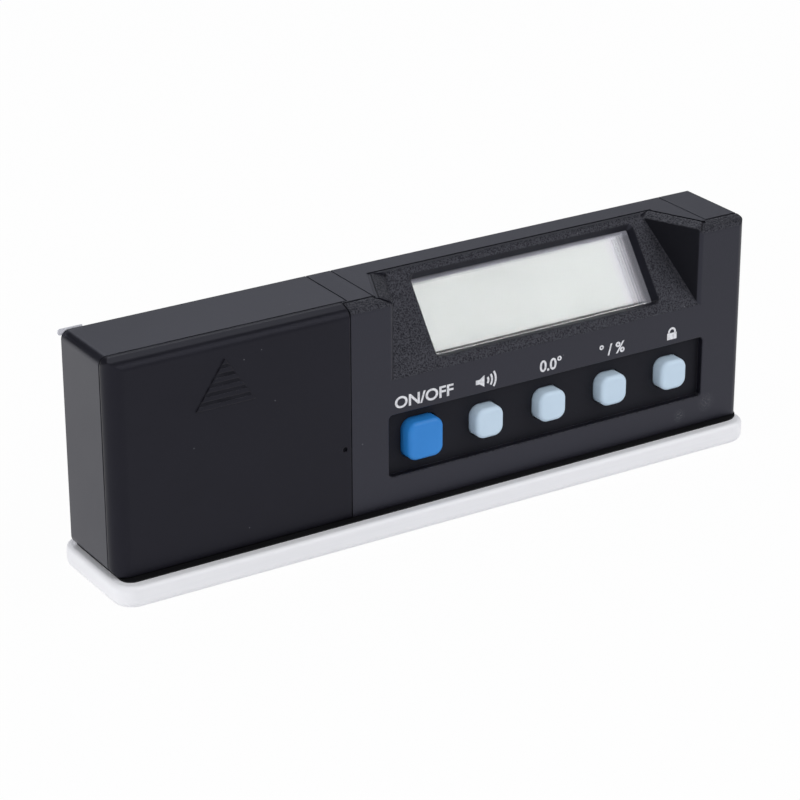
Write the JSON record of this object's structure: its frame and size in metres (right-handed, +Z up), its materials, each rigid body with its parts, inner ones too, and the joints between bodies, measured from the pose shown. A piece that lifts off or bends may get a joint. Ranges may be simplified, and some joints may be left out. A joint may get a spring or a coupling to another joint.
{
  "type": "digital inclinometer",
  "caption": "Slim electronic inclinometer on a metal rail, with a sloping display in a scooped recess, a row of soft keys and a sliding battery cover.",
  "frame": {"origin": "centre of the rail's underside", "axes": "+X along the rail from the battery end to the display end, -Y out of the front with the keys, +Z up"},
  "size_m": [0.154, 0.0278, 0.0513],
  "materials": {
    "rail_metal": "fine satin",
    "gasket_black": "matte sheet",
    "case_grained": "fine spark-eroded grain",
    "case_smooth": "smooth satin",
    "window_clear": "clear, hard coated",
    "lcd_pale": "blank reflective display",
    "key_blue": "soft touch",
    "key_pale": "soft touch",
    "film_lilac": "thin film",
    "screw_steel": "zinc plated",
    "frame_white": "moulded",
    "zebra_rubber": "layered silicone",
    "board_green": "solder mask",
    "ribbon_amber": "flexible film",
    "mat_grey": "silicone",
    "carbon_black": "conductive pill",
    "chip_black": "moulded package",
    "can_steel": "drawn can",
    "header_white": "nylon",
    "lead_red": "wire insulation",
    "lead_black": "wire insulation",
    "cell_jacket": "printed jacket, bare of words",
    "contact_nickel": "nickel plated"
  },
  "bodies": {
    "case": {"base_rail": "rail_metal", "base_gasket": "gasket_black", "front_case": "case_grained", "rear_cover": "case_grained", "battery_case": "case_smooth", "display_window": "window_clear", "lcd_cell": "lcd_pale", "film_tab": "film_lilac", "rear_screws": "screw_steel", "case_screws": "screw_steel", "base_screws": "screw_steel", "display_screws": "screw_steel", "board_screws": "screw_steel", "lcd_frame": "frame_white", "zebra_strip": "zebra_rubber", "display_board": "board_green", "main_board": "board_green", "display_ribbon": "ribbon_amber", "keypad_mat": "mat_grey", "microcontroller": "chip_black", "tilt_sensor": "chip_black", "sounder": "chip_black", "crystal": "can_steel", "capacitor": "can_steel", "lead_header": "header_white", "lead_positive": "lead_red", "lead_negative": "lead_black", "battery_upper": "cell_jacket", "battery_lower": "cell_jacket", "contact_bridge": "contact_nickel", "contact_positive": "contact_nickel", "contact_negative": "contact_nickel", "battery_springs": "contact_nickel"},
    "key_power_body": {"key_power": "key_blue", "pill_power": "carbon_black"},
    "key_sound_body": {"key_sound": "key_pale", "pill_sound": "carbon_black"},
    "key_cal_body": {"key_cal": "key_pale", "pill_cal": "carbon_black"},
    "key_mode_body": {"key_mode": "key_pale", "pill_mode": "carbon_black"},
    "key_hold_body": {"key_hold": "key_pale", "pill_hold": "carbon_black"},
    "cover": {"battery_cover": "case_smooth"}
  },
  "joints": [
    {"name": "key_power_press", "type": "slide", "parent": "case", "child": "key_power_body", "axis": [0, 1, 0], "range_m": [0, 0.001], "stiffness_N_per_m": 1200, "springref_m": -0.0003},
    {"name": "key_sound_press", "type": "slide", "parent": "case", "child": "key_sound_body", "axis": [0, 1, 0], "range_m": [0, 0.001], "stiffness_N_per_m": 1200, "springref_m": -0.0003},
    {"name": "key_cal_press", "type": "slide", "parent": "case", "child": "key_cal_body", "axis": [0, 1, 0], "range_m": [0, 0.001], "stiffness_N_per_m": 1200, "springref_m": -0.0003},
    {"name": "key_mode_press", "type": "slide", "parent": "case", "child": "key_mode_body", "axis": [0, 1, 0], "range_m": [0, 0.001], "stiffness_N_per_m": 1200, "springref_m": -0.0003},
    {"name": "key_hold_press", "type": "slide", "parent": "case", "child": "key_hold_body", "axis": [0, 1, 0], "range_m": [0, 0.001], "stiffness_N_per_m": 1200, "springref_m": -0.0003},
    {"name": "cover_slide", "type": "slide", "parent": "case", "child": "cover", "axis": [0, 0, 1], "range_m": [0, 0.04]}
  ]
}
